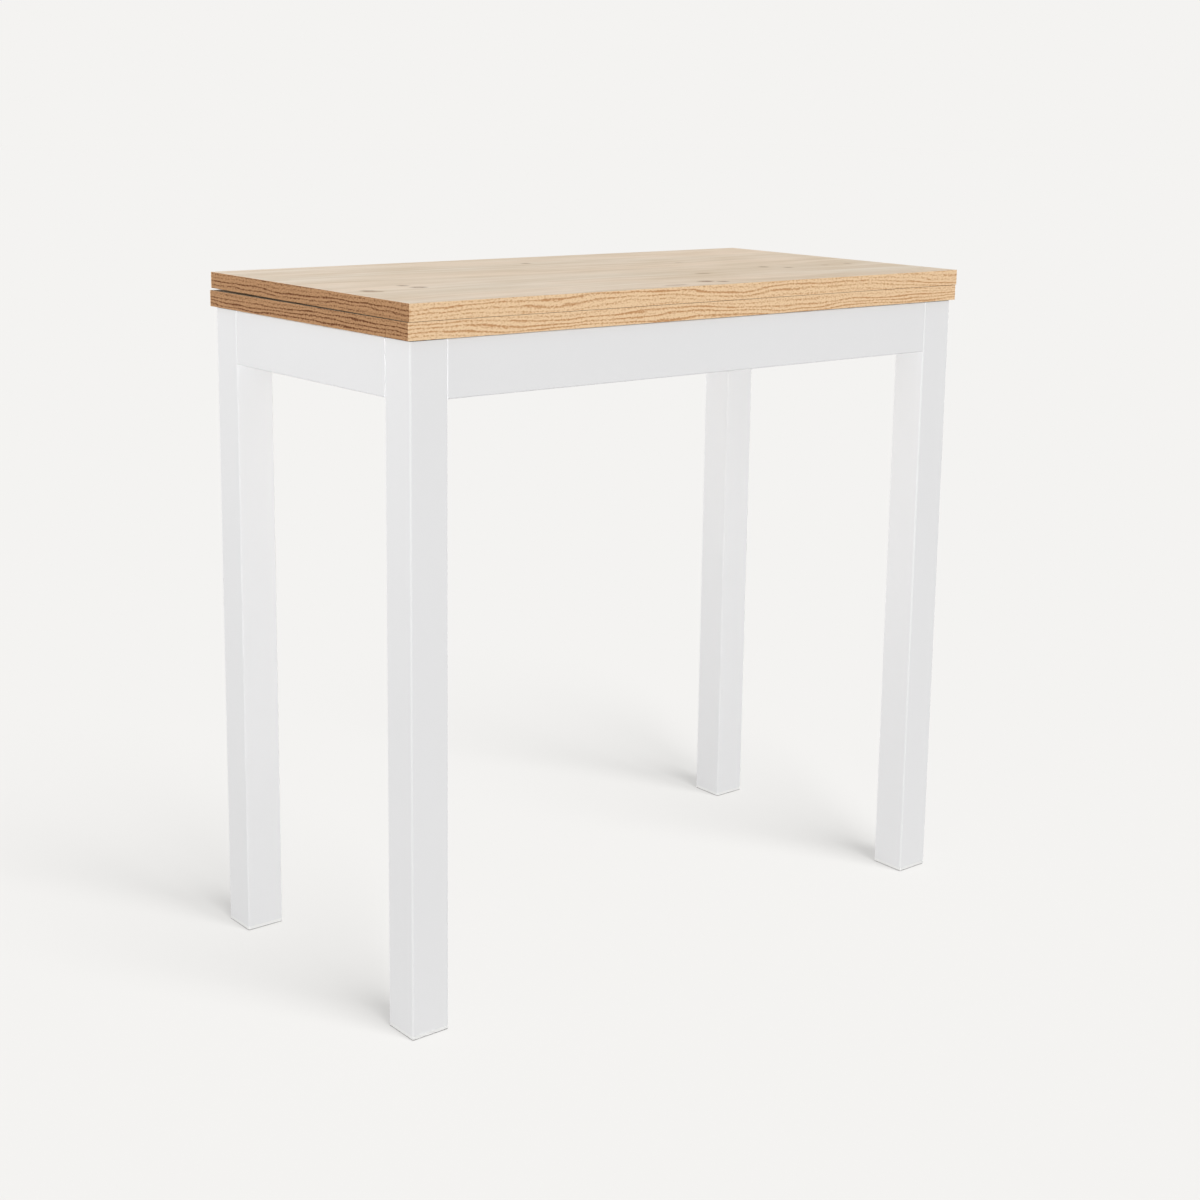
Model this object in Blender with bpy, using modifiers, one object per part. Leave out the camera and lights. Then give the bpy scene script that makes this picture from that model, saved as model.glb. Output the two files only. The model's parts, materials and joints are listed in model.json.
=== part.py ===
"""Book-fold extending table: a powder-coated tube frame under a top of two leaves.

Closed, the upper leaf lies folded on the lower one. To open it, the top slides forwards by half
its depth and the upper leaf folds back over the frame, which doubles the depth of the table.
Metres, +Z up, origin on the floor under the middle of the closed top, -Y towards the user.
"""

import math

import bmesh
import bpy
from mathutils import Matrix

# The top as a whole
LEAF_LENGTH = 0.800
LEAF_DEPTH = 0.400
LEAF_THICKNESS = 0.018
TABLE_HEIGHT = 0.770
EDGE_BAND = 0.001

# How the closed leaves lie on each other: the hinges hold the back open, the front edges meet
GAP_BACK = 0.0024
GAP_FRONT = 0.0004
LEAF_SHIFT = 0.0015

# Legs, and the plastic plugs in both ends of each leg
LEG_SIDE = 0.045
LEG_WALL = 0.0015
LEG_ROUND = 0.002
LEG_INSET_X = 0.004
LEG_INSET_Y = 0.005
FOOT_FLANGE = 0.004
FOOT_SOLE = 0.001
SOLE_INSET = 0.003
FOOT_PLUG = 0.022
GLIDE_FLANGE = 0.001
GLIDE_PLUG = 0.012
GLIDE_INSET = 0.0004
PLUG_WALL = 0.0025

# Aprons
APRON_HEIGHT = 0.060
APRON_THICKNESS = 0.020
APRON_WALL = 0.0015
APRON_ROUND = 0.0012

# Corner joints: a bracket across each corner and a bolt through it into the leg
BRACKET_THICKNESS = 0.002
BRACKET_STANDOFF = 0.014
BRACKET_FLANGE = 0.018
BRACKET_MARGIN = 0.002
NUT_WIDTH = 0.024
NUT_HEIGHT = 0.024
NUT_THICKNESS = 0.004
BOLT_RADIUS = 0.004
BOLT_FLATS = 0.013
BOLT_HEAD = 0.0053
BOLT_TIP = 0.003

# Slide: a slotted rail on each side apron, and a shoe under the lower leaf that runs in it
RAIL_WIDTH = 0.020
RAIL_HEIGHT = 0.014
RAIL_WALL = 0.0015
RAIL_SLOT = 0.009
STOP_LENGTH = 0.007
SHOE_FLANGE = 0.008
SHOE_FOOT = 0.005
SHOE_MARGIN = 0.001

# Butt hinges let into the back edges of the leaves, the outer two near the leaf's ends
HINGE_FROM_END = 0.120
HINGE_LENGTH = 0.060
HINGE_PLATE = 0.0015
HINGE_MARGIN = 0.004
EDGE_TO_AXIS = 0.00025
KNUCKLE_RADIUS = 0.0025
PIN_RADIUS = 0.00125
PIN_HEAD_RADIUS = 0.002
PIN_HEAD = 0.001
SCREW_SPACING = 0.040
SCREW_HEAD_RADIUS = 0.003

# Clearances: seats and fixed fits, glued or pressed faces, and pieces that run past each other
FIT = 0.0003
SEAT = 0.00005
RUN = 0.0005
PIN_PLAY = 0.00025
BOLT_PLAY = 0.0003
SCREW_PLAY = 0.0001
OVERCUT = 0.005

# Points closer than this are one point
WELD = 0.000001

# Facets of round shapes
CORNER_STEPS = 3
ROUND_SIDES = 16
KNUCKLE_STEPS = 20

CORNERS = {
    "front_left": (-1, -1),
    "front_right": (1, -1),
    "back_left": (-1, 1),
    "back_right": (1, 1),
}
SIDES = {"left": -1, "right": 1}

# Heights, from the hinge axis down to the floor
HINGE_Y = LEAF_DEPTH / 2 + EDGE_TO_AXIS
HINGE_Z = TABLE_HEIGHT - LEAF_THICKNESS - GAP_BACK / 2
FOLD_TILT = math.asin((GAP_BACK - GAP_FRONT) / (LEAF_DEPTH + EDGE_TO_AXIS))
LEAF_UNDERSIDE = HINGE_Z - GAP_BACK / 2 - LEAF_THICKNESS
LEG_TOP = LEAF_UNDERSIDE - FIT - GLIDE_FLANGE - SEAT
LEG_BOTTOM = FOOT_SOLE + FOOT_FLANGE + SEAT
APRON_BOTTOM = LEG_TOP - APRON_HEIGHT
RAIL_TOP = LEAF_UNDERSIDE - FIT - SHOE_FLANGE - RUN
RAIL_BOTTOM = RAIL_TOP - RAIL_HEIGHT
BRACKET_BOTTOM = APRON_BOTTOM + BRACKET_MARGIN
BRACKET_TOP = RAIL_BOTTOM - BRACKET_MARGIN
BOLT_Z = (BRACKET_BOTTOM + BRACKET_TOP) / 2

# Places in plan
LEG_X = LEAF_LENGTH / 2 - LEG_INSET_X - LEG_SIDE / 2
LEG_Y = LEAF_DEPTH / 2 - LEG_INSET_Y - LEG_SIDE / 2
LEG_BORE = LEG_SIDE - 2 * LEG_WALL
LONG_APRON = 2 * (LEG_X - LEG_SIDE / 2 - FIT)
SHORT_APRON = 2 * (LEG_Y - LEG_SIDE / 2 - FIT)
APRON_X = LEG_X + LEG_SIDE / 2 - APRON_THICKNESS / 2
APRON_Y = LEG_Y + LEG_SIDE / 2 - APRON_THICKNESS / 2
RAIL_X = APRON_X - APRON_THICKNESS / 2 - FIT - RAIL_WIDTH / 2

# Travel and the pieces that set it: the fold line ends over the middle of the frame
SLIDE_TRAVEL = LEAF_DEPTH / 2
SHOE_LENGTH = SHORT_APRON - 2 * STOP_LENGTH - SLIDE_TRAVEL - 2 * FIT

# Along the diagonal of a corner, counted from the leg's inner corner towards the table's middle
WEB_INNER = BRACKET_STANDOFF + BRACKET_THICKNESS
NUT_OUTER = math.sqrt(2) * ((LEG_BORE - LEG_SIDE) / 2 - FIT) - NUT_WIDTH / 2
BOLT_END = NUT_OUTER - NUT_THICKNESS - BOLT_TIP
BOLT_SEAT = WEB_INNER + FIT

# Hinges along the back edge
HINGE_X = LEAF_LENGTH / 2 - HINGE_FROM_END
HINGES = {"left": -HINGE_X, "middle": 0.0, "right": HINGE_X}

# Hinge section, counted from the axis
PLATE_REACH = GAP_BACK / 2 + LEAF_THICKNESS - HINGE_MARGIN - FIT
KNUCKLE_ROOM = KNUCKLE_RADIUS + RUN
KNUCKLE_HALF = HINGE_LENGTH / 6
PIN_LENGTH = HINGE_LENGTH + 2 * (FIT + PIN_HEAD)
SCREW_LINE = (KNUCKLE_RADIUS + PLATE_REACH) / 2

# Turns that lay a drawn-out section, upright in its own Y, along world Y or world X
ALONG_Y = (math.pi / 2, 0, 0)
ALONG_X = (math.pi / 2, 0, math.pi / 2)
ALONG_X_UPSIDE_DOWN = (-math.pi / 2, 0, math.pi / 2)
UPSIDE_DOWN = (math.pi, 0, 0)


def clear_scene():
    for obj in list(bpy.data.objects):
        bpy.data.objects.remove(obj, do_unlink=True)


def new_collection(name):
    collection = bpy.data.collections.new(name)
    bpy.context.scene.collection.children.link(collection)
    return collection


def finish(name, colour, roughness, metallic=0.0):
    """A Principled BSDF material of one colour."""
    material = bpy.data.materials.new(name)
    material.use_nodes = True
    shader = material.node_tree.nodes["Principled BSDF"]
    shader.inputs["Base Color"].default_value = (*colour, 1.0)
    shader.inputs["Roughness"].default_value = roughness
    shader.inputs["Metallic"].default_value = metallic
    return material


clear_scene()
PARTS = new_collection("extending_table")
CUTTERS = new_collection("extending_table_cutters")
POWDER_WHITE = finish("powder_white", (0.80, 0.80, 0.81), 0.45)
OAK_FACE = finish("oak_face", (0.68, 0.55, 0.40), 0.50)
OAK_EDGE = finish("oak_edge", (0.62, 0.42, 0.24), 0.55)
ZINC_STEEL = finish("zinc_steel", (0.62, 0.62, 0.60), 0.35, 1.0)
BLACK_PLASTIC = finish("black_plastic", (0.02, 0.02, 0.02), 0.50)
WHITE_PLASTIC = finish("white_plastic", (0.88, 0.88, 0.87), 0.45)
WHITE_NYLON = finish("white_nylon", (0.78, 0.78, 0.74), 0.45)


def part(name, mesh, material, place, turn=(0, 0, 0), parent=None):
    """One named piece of the table."""
    if not mesh.materials:
        mesh.materials.append(material)
    obj = bpy.data.objects.new(name, mesh)
    PARTS.objects.link(obj)
    obj.location = place
    obj.rotation_euler = turn
    obj.parent = parent
    return obj


def cutter(name, mesh, place=(0, 0, 0), parent=None):
    """A shape that is only cut out of other pieces."""
    obj = bpy.data.objects.new(name, mesh)
    CUTTERS.objects.link(obj)
    obj.location = place
    obj.parent = parent
    obj.hide_render = True
    obj.display_type = "WIRE"
    return obj


def cut(obj, *tools):
    for tool in tools:
        modifier = obj.modifiers.new(tool.name, "BOOLEAN")
        modifier.operation = "DIFFERENCE"
        modifier.object = tool


def empty(name, place=(0, 0, 0), turn=(0, 0, 0), parent=None):
    obj = bpy.data.objects.new(name, None)
    PARTS.objects.link(obj)
    obj.location = place
    obj.rotation_euler = turn
    obj.parent = parent
    return obj


def to_mesh(bm, name):
    mesh = bpy.data.meshes.new(name)
    bm.to_mesh(mesh)
    bm.free()
    return mesh


def boxes(name, size, centres=((0, 0, 0),)):
    """Equal boxes at the given centres, in one mesh."""
    bm = bmesh.new()
    for centre in centres:
        verts = bmesh.ops.create_cube(bm, size=1)["verts"]
        bmesh.ops.scale(bm, vec=size, verts=verts)
        bmesh.ops.translate(bm, vec=centre, verts=verts)
    return to_mesh(bm, name)


def rods(name, radius, length, places, sides=ROUND_SIDES):
    """Equal cylinders along the Z axis of each given matrix, in one mesh."""
    bm = bmesh.new()
    for place in places:
        bmesh.ops.create_cone(
            bm, cap_ends=True, segments=sides, radius1=radius, radius2=radius, depth=length, matrix=place
        )
    return to_mesh(bm, name)


def evaluated_mesh(obj):
    """The object as its modifiers leave it, welded into one mesh. The object itself is removed."""
    bpy.context.view_layer.update()
    graph = bpy.context.evaluated_depsgraph_get()
    mesh = bpy.data.meshes.new_from_object(obj.evaluated_get(graph))
    bpy.data.objects.remove(obj)
    bm = bmesh.new()
    bm.from_mesh(mesh)
    bmesh.ops.remove_doubles(bm, verts=bm.verts, dist=WELD)
    bm.to_mesh(mesh)
    bm.free()
    return mesh


def rectangle(width, height):
    return [(x * width / 2, y * height / 2) for x, y in ((1, 1), (-1, 1), (-1, -1), (1, -1))]


def rounded_rectangle(width, height, radius):
    points = []
    for quarter, (x, y) in enumerate(rectangle(width - 2 * radius, height - 2 * radius)):
        for step in range(CORNER_STEPS + 1):
            angle = math.pi / 2 * (quarter + step / CORNER_STEPS)
            points.append((x + radius * math.cos(angle), y + radius * math.sin(angle)))
    return points


def drawn(name, length, *outlines):
    """A flat outline, with any further outlines as holes in it, drawn out along Z about its middle."""
    curve = bpy.data.curves.new(name, "CURVE")
    curve.dimensions = "2D"
    curve.fill_mode = "BOTH"
    curve.extrude = length / 2
    for outline in outlines:
        spline = curve.splines.new("POLY")
        spline.points.add(len(outline) - 1)
        for point, (x, y) in zip(spline.points, outline):
            point.co = (x, y, 0, 1)
        spline.use_cyclic_u = True
    obj = bpy.data.objects.new(name, curve)
    CUTTERS.objects.link(obj)
    return evaluated_mesh(obj)


def square_tube(name, length, width, height, wall, radius):
    return drawn(
        name,
        length,
        rounded_rectangle(width, height, radius),
        rectangle(width - 2 * wall, height - 2 * wall),
    )


def stepped(bm, face, inset, rise):
    """Draws the middle of a level face up or down, and returns the face at its end."""
    bmesh.ops.inset_individual(bm, faces=[face], thickness=inset, use_even_offset=True)
    face = bmesh.ops.extrude_discrete_faces(bm, faces=[face])["faces"][0]
    bmesh.ops.translate(bm, vec=(0, 0, rise), verts=face.verts)
    return face


def plug(name, flange_side, flange, depth, sole=0.0):
    """A square end plug: a flange with its outer face at the origin, and a hollow stem up into the tube.

    A sole is a step below the flange, a little smaller than it.
    """
    stem_side = LEG_BORE - 2 * FIT
    bm = bmesh.new()
    verts = bmesh.ops.create_cube(bm, size=1)["verts"]
    bmesh.ops.scale(bm, vec=(flange_side, flange_side, flange), verts=verts)
    bmesh.ops.translate(bm, vec=(0, 0, flange / 2), verts=verts)
    corners = [e for e in bm.edges if abs(e.verts[0].co.z - e.verts[1].co.z) > flange / 2]
    bottom, *_, top = sorted(bm.faces, key=lambda f: f.calc_center_median().z)
    stem_end = stepped(bm, top, (flange_side - stem_side) / 2, depth)
    stepped(bm, stem_end, PLUG_WALL, -depth)
    if sole:
        stepped(bm, bottom, SOLE_INSET, -sole)
    bmesh.ops.bevel(
        bm, geom=corners, offset=LEG_ROUND, segments=CORNER_STEPS, profile=0.5, affect="EDGES"
    )
    return to_mesh(bm, name)


def towards_middle(sx, sy):
    """The direction from a leg's inner corner along the diagonal, as a turn about Z."""
    return math.atan2(-sy, -sx)


def inner_corner(sx, sy, along=0.0):
    """A point on the corner's diagonal at the height of the bolt."""
    turn = towards_middle(sx, sy)
    x = sx * (LEG_X - LEG_SIDE / 2) + along * math.cos(turn)
    y = sy * (LEG_Y - LEG_SIDE / 2) + along * math.sin(turn)
    return (x, y, BOLT_Z)


def bolt_mesh():
    """A hexagon-head bolt along Z, with the underside of its head at the origin and its shank below."""
    shank_length = BOLT_SEAT - BOLT_END
    overlap = BOLT_HEAD / 2
    head = bpy.data.objects.new(
        "bolt_head",
        rods(
            "bolt_head",
            BOLT_FLATS / math.sqrt(3),
            BOLT_HEAD,
            [Matrix.Translation((0, 0, BOLT_HEAD / 2))],
            sides=6,
        ),
    )
    shank = cutter(
        "bolt_shank",
        rods(
            "bolt_shank",
            BOLT_RADIUS,
            shank_length + overlap,
            [Matrix.Translation((0, 0, (overlap - shank_length) / 2))],
        ),
    )
    CUTTERS.objects.link(head)
    union = head.modifiers.new("shank", "BOOLEAN")
    union.operation = "UNION"
    union.object = shank
    mesh = evaluated_mesh(head)
    bpy.data.objects.remove(shank)
    return mesh


def bracket_path():
    """The bent line of a bracket in plan, from one apron across the corner to the other apron.

    X runs along the corner's diagonal from the leg's inner corner, and Y across it.
    """
    leg_step = LEG_SIDE - APRON_THICKNESS
    beside_apron = FIT + BRACKET_THICKNESS / 2
    web_sum = 2 * leg_step + math.sqrt(2) * (BRACKET_STANDOFF + BRACKET_THICKNESS / 2)
    bend = web_sum - beside_apron
    end = bend + BRACKET_FLANGE
    spots = ((beside_apron, end), (beside_apron, bend), (bend, beside_apron), (end, beside_apron))
    return [((u + v - 2 * leg_step) / math.sqrt(2), (u - v) / math.sqrt(2)) for u, v in spots]


def bracket_mesh():
    """A strip of plate on edge along the bracket's line, about the height of the bolt."""
    height = BRACKET_TOP - BRACKET_BOTTOM
    bm = bmesh.new()
    verts = [bm.verts.new((x, y, -height / 2)) for x, y in bracket_path()]
    edges = [bm.edges.new(pair) for pair in zip(verts, verts[1:])]
    raised = bmesh.ops.extrude_edge_only(bm, edges=edges)["geom"]
    raised_verts = [item for item in raised if isinstance(item, bmesh.types.BMVert)]
    bmesh.ops.translate(bm, vec=(0, 0, height), verts=raised_verts)
    return to_mesh(bm, "corner_bracket")


def make_legs(bolt_holes):
    tube = square_tube("leg", LEG_TOP - LEG_BOTTOM, LEG_SIDE, LEG_SIDE, LEG_WALL, LEG_ROUND)
    foot = plug("foot", LEG_SIDE, FOOT_FLANGE, FOOT_PLUG, FOOT_SOLE)
    glide = plug("glide", LEG_SIDE - 2 * GLIDE_INSET, GLIDE_FLANGE, GLIDE_PLUG)
    for corner, (sx, sy) in CORNERS.items():
        x, y = sx * LEG_X, sy * LEG_Y
        leg = part(f"leg_{corner}", tube, POWDER_WHITE, (x, y, (LEG_TOP + LEG_BOTTOM) / 2))
        cut(leg, bolt_holes)
        part(f"foot_{corner}", foot, WHITE_PLASTIC, (x, y, FOOT_SOLE))
        glide_top = LEG_TOP + SEAT + GLIDE_FLANGE
        part(f"glide_{corner}", glide, BLACK_PLASTIC, (x, y, glide_top), UPSIDE_DOWN)


def make_aprons():
    middle = (LEG_TOP + APRON_BOTTOM) / 2
    section = (APRON_THICKNESS, APRON_HEIGHT, APRON_WALL, APRON_ROUND)
    long_tube = square_tube("long_apron", LONG_APRON, *section)
    short_tube = square_tube("short_apron", SHORT_APRON, *section)
    part("apron_front", long_tube, POWDER_WHITE, (0, -APRON_Y, middle), ALONG_X)
    part("apron_back", long_tube, POWDER_WHITE, (0, APRON_Y, middle), ALONG_X)
    for side, sign in SIDES.items():
        part(f"apron_{side}", short_tube, POWDER_WHITE, (sign * APRON_X, 0, middle), ALONG_Y)


def make_corner_joints(bolt_holes):
    bracket_sheet = bracket_mesh()
    nut_plate = boxes("corner_nut", (NUT_THICKNESS, NUT_WIDTH, NUT_HEIGHT))
    bolt = bolt_mesh()
    for corner, (sx, sy) in CORNERS.items():
        turn = towards_middle(sx, sy)
        bracket = part(
            f"corner_bracket_{corner}", bracket_sheet, ZINC_STEEL, inner_corner(sx, sy), (0, 0, turn)
        )
        plate = bracket.modifiers.new("plate", "SOLIDIFY")
        plate.thickness = BRACKET_THICKNESS
        plate.offset = 0
        plate.use_even_offset = True
        cut(bracket, bolt_holes)
        nut_middle = NUT_OUTER - NUT_THICKNESS / 2
        nut = part(
            f"corner_nut_{corner}", nut_plate, ZINC_STEEL, inner_corner(sx, sy, nut_middle), (0, 0, turn)
        )
        cut(nut, bolt_holes)
        part(
            f"corner_bolt_{corner}",
            bolt,
            ZINC_STEEL,
            inner_corner(sx, sy, BOLT_SEAT),
            (0, math.pi / 2, turn),
        )


def bolt_hole_cutter():
    """One rod through each corner, which makes the leg's, the bracket's and the nut's hole line up."""
    places = [
        Matrix.Translation(inner_corner(sx, sy, (BOLT_SEAT + BOLT_END) / 2))
        @ Matrix.Rotation(towards_middle(sx, sy), 4, "Z")
        @ Matrix.Rotation(math.pi / 2, 4, "Y")
        for sx, sy in CORNERS.values()
    ]
    length = BOLT_SEAT - BOLT_END + 2 * OVERCUT
    return cutter("bolt_holes", rods("bolt_holes", BOLT_RADIUS + BOLT_PLAY, length, places))


def rail_outline():
    """A box section with a slot along its top, with the slot's mouth at the origin."""
    half, inside, slot = RAIL_WIDTH / 2, RAIL_WIDTH / 2 - RAIL_WALL, RAIL_SLOT / 2
    floor = RAIL_WALL - RAIL_HEIGHT
    right = [
        (half, -RAIL_HEIGHT),
        (half, 0),
        (slot, 0),
        (slot, -RAIL_WALL),
        (inside, -RAIL_WALL),
        (inside, floor),
    ]
    return right + [(-x, y) for x, y in reversed(right)]


def shoe_outline():
    """A flange under the leaf, a neck through the rail's slot and a foot inside the rail."""
    neck, flange = RAIL_SLOT / 2 - RUN, RAIL_WIDTH / 2 - SHOE_MARGIN
    foot = RAIL_WIDTH / 2 - RAIL_WALL - RUN
    foot_top = -RAIL_WALL - RUN
    foot_bottom = foot_top - SHOE_FOOT
    right = [
        (foot, foot_bottom),
        (foot, foot_top),
        (neck, foot_top),
        (neck, RUN),
        (flange, RUN),
        (flange, RUN + SHOE_FLANGE),
    ]
    return right + [(-x, y) for x, y in reversed(right)]


def make_slides(lower_leaf):
    rail = drawn("guide_rail", SHORT_APRON, rail_outline())
    shoe = drawn("slider_shoe", SHOE_LENGTH, shoe_outline())
    bore = (RAIL_WIDTH - 2 * (RAIL_WALL + FIT), STOP_LENGTH, RAIL_HEIGHT - 2 * (RAIL_WALL + FIT))
    stop = boxes("rail_stop", bore)
    stop_y = (SHORT_APRON - STOP_LENGTH) / 2
    for side, sign in SIDES.items():
        x = sign * RAIL_X
        part(f"guide_rail_{side}", rail, ZINC_STEEL, (x, 0, RAIL_TOP), ALONG_Y)
        for end, y in (("front", -stop_y), ("back", stop_y)):
            place = (x, y, RAIL_TOP - RAIL_HEIGHT / 2)
            part(f"rail_stop_{side}_{end}", stop, BLACK_PLASTIC, place)
        shoe_place = (x, SLIDE_TRAVEL / 2 - HINGE_Y, RAIL_TOP - HINGE_Z)
        part(f"slider_shoe_{side}", shoe, WHITE_NYLON, shoe_place, ALONG_Y, lower_leaf)


def hinge_recesses(leaf, parent, sign):
    """What the hinges take out of a leaf's back edge: the plates' beds, and room for the barrels."""
    bed_depth = EDGE_TO_AXIS + HINGE_PLATE + FIT
    bed_height = PLATE_REACH + FIT
    bed_size = (HINGE_LENGTH + 2 * FIT, bed_depth + OVERCUT, bed_height)
    bed_y = (OVERCUT - bed_depth) / 2
    beds = [(x, bed_y, sign * bed_height / 2) for x in HINGES.values()]
    room_size = (PIN_LENGTH + 2 * RUN, KNUCKLE_ROOM + OVERCUT, 2 * KNUCKLE_ROOM)
    rooms = [(x, (OVERCUT - KNUCKLE_ROOM) / 2, 0) for x in HINGES.values()]
    return (
        cutter(f"{leaf}_hinge_beds", boxes(f"{leaf}_hinge_beds", bed_size, beds), parent=parent),
        cutter(f"{leaf}_barrel_rooms", boxes(f"{leaf}_barrel_rooms", room_size, rooms), parent=parent),
    )


def make_leaf(leaf, parent, sign):
    """A board with a band on each edge. Its parent lies on the hinge axis, below or above it."""
    x = sign * LEAF_SHIFT / 2
    y = -EDGE_TO_AXIS - LEAF_DEPTH / 2
    z = sign * (GAP_BACK + LEAF_THICKNESS) / 2
    banded = 2 * (EDGE_BAND + SEAT)
    board_size = (LEAF_LENGTH - banded, LEAF_DEPTH - banded, LEAF_THICKNESS)
    long_band = boxes(f"{leaf}_long_band", (LEAF_LENGTH, EDGE_BAND, LEAF_THICKNESS))
    short_band = boxes(f"{leaf}_short_band", (EDGE_BAND, LEAF_DEPTH - banded, LEAF_THICKNESS))
    to_long_band = (LEAF_DEPTH - EDGE_BAND) / 2
    to_short_band = (LEAF_LENGTH - EDGE_BAND) / 2

    recesses = hinge_recesses(leaf, parent, sign)
    board = part(f"{leaf}_board", boxes(f"{leaf}_board", board_size), OAK_FACE, (x, y, z), parent=parent)
    back = part(f"{leaf}_band_back", long_band, OAK_EDGE, (x, y + to_long_band, z), parent=parent)
    cut(board, *recesses)
    cut(back, *recesses)
    part(f"{leaf}_band_front", long_band, OAK_EDGE, (x, y - to_long_band, z), parent=parent)
    for side, way in SIDES.items():
        part(f"{leaf}_band_{side}", short_band, OAK_EDGE, (x + way * to_short_band, y, z), parent=parent)


def plate_outline():
    """A hinge plate hanging from its knuckle, which is round about the axis at the origin."""
    front, back = -EDGE_TO_AXIS - HINGE_PLATE, -EDGE_TO_AXIS
    meets_back = math.atan2(-math.sqrt(KNUCKLE_RADIUS**2 - back**2), back)
    meets_front = math.atan2(-math.sqrt(KNUCKLE_RADIUS**2 - front**2), front) + 2 * math.pi
    outline = [(front, -PLATE_REACH), (back, -PLATE_REACH)]
    for step in range(KNUCKLE_STEPS + 1):
        angle = meets_back + (meets_front - meets_back) * step / KNUCKLE_STEPS
        outline.append((KNUCKLE_RADIUS * math.cos(angle), KNUCKLE_RADIUS * math.sin(angle)))
    return outline


def screw_holes(leaf, parent, sign):
    """Countersunk holes through the plates of one leaf: 45 degree cones, wide at the outer face."""
    lip = FIT
    depth = HINGE_PLATE + 2 * lip
    wide = SCREW_HEAD_RADIUS + SCREW_PLAY + lip
    bm = bmesh.new()
    for x in HINGES.values():
        for way in SIDES.values():
            place = Matrix.Translation(
                (x + way * SCREW_SPACING / 2, -EDGE_TO_AXIS - HINGE_PLATE / 2, sign * SCREW_LINE)
            )
            bmesh.ops.create_cone(
                bm,
                cap_ends=True,
                segments=ROUND_SIDES,
                radius1=wide,
                radius2=wide - depth,
                depth=depth,
                matrix=place @ Matrix.Rotation(math.pi / 2, 4, "X"),
            )
    return cutter(f"{leaf}_screw_holes", to_mesh(bm, f"{leaf}_screw_holes"), parent=parent)


def pin_mesh():
    """A pin with a flat head at each end, turned about Z: the profile runs down its outer side."""
    half, neck = PIN_LENGTH / 2, PIN_LENGTH / 2 - PIN_HEAD
    upper = [(0, half), (PIN_HEAD_RADIUS, half), (PIN_HEAD_RADIUS, neck), (PIN_RADIUS, neck)]
    profile = upper + [(x, -z) for x, z in reversed(upper)]
    bm = bmesh.new()
    verts = [bm.verts.new((x, 0, z)) for x, z in profile]
    for pair in zip(verts, verts[1:]):
        bm.edges.new(pair)
    obj = bpy.data.objects.new("hinge_pin", to_mesh(bm, "hinge_pin"))
    CUTTERS.objects.link(obj)
    turned = obj.modifiers.new("turned", "SCREW")
    turned.steps = turned.render_steps = ROUND_SIDES
    turned.use_merge_vertices = True
    turned.merge_threshold = WELD
    return evaluated_mesh(obj)


def make_hinges(lower_leaf, upper_leaf):
    plate = drawn("hinge_plate", HINGE_LENGTH, plate_outline())
    pin = pin_mesh()
    along_x = [
        Matrix.Translation((x, 0, 0)) @ Matrix.Rotation(math.pi / 2, 4, "Y") for x in HINGES.values()
    ]
    pin_holes = cutter(
        "pin_holes",
        rods("pin_holes", PIN_RADIUS + PIN_PLAY, HINGE_LENGTH + 2 * OVERCUT, along_x),
        parent=lower_leaf,
    )
    around = 2 * KNUCKLE_ROOM
    middle_rooms = cutter(
        "middle_knuckle_rooms",
        boxes(
            "middle_knuckle_rooms",
            (2 * KNUCKLE_HALF + FIT, around, around),
            [(x, 0, 0) for x in HINGES.values()],
        ),
        parent=lower_leaf,
    )
    outer_length = HINGE_LENGTH / 2 - KNUCKLE_HALF + FIT / 2 + OVERCUT
    outer_middle = KNUCKLE_HALF - FIT / 2 + outer_length / 2
    outer_rooms = cutter(
        "outer_knuckle_rooms",
        boxes(
            "outer_knuckle_rooms",
            (outer_length, around, around),
            [(x + sign * outer_middle, 0, 0) for x in HINGES.values() for sign in (-1, 1)],
        ),
        parent=lower_leaf,
    )
    lower_screws = screw_holes("lower", lower_leaf, -1)
    upper_screws = screw_holes("upper", upper_leaf, 1)
    for hinge, x in HINGES.items():
        lower = part(f"hinge_{hinge}_lower_plate", plate, ZINC_STEEL, (x, 0, 0), ALONG_X, lower_leaf)
        cut(lower, middle_rooms, pin_holes, lower_screws)
        upper = part(
            f"hinge_{hinge}_upper_plate", plate, ZINC_STEEL, (x, 0, 0), ALONG_X_UPSIDE_DOWN, upper_leaf
        )
        cut(upper, outer_rooms, pin_holes, upper_screws)
        part(f"hinge_{hinge}_pin", pin, ZINC_STEEL, (x, 0, 0), (0, math.pi / 2, 0), lower_leaf)


def main():
    lower_leaf = empty("lower_leaf_slide", (0, HINGE_Y, HINGE_Z))
    upper_leaf = empty("upper_leaf_fold", turn=(FOLD_TILT, 0, 0), parent=lower_leaf)
    bolt_holes = bolt_hole_cutter()
    make_legs(bolt_holes)
    make_aprons()
    make_corner_joints(bolt_holes)
    make_slides(lower_leaf)
    make_leaf("lower", lower_leaf, -1)
    make_leaf("upper", upper_leaf, 1)
    make_hinges(lower_leaf, upper_leaf)


main()
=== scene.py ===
"""Looks of the book-fold extending table: oak-look leaves on a white powder-coated frame.

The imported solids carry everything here. This script gives each of them a finish, eases their edges,
adds the screws of the hinges and corner brackets, and sets the floor, the light and the camera.
Metres, +Z up, X along the grain of the top, -Y towards the user.
"""

import json
import math

import bmesh
import bpy
from mathutils import Matrix, Vector

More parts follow.
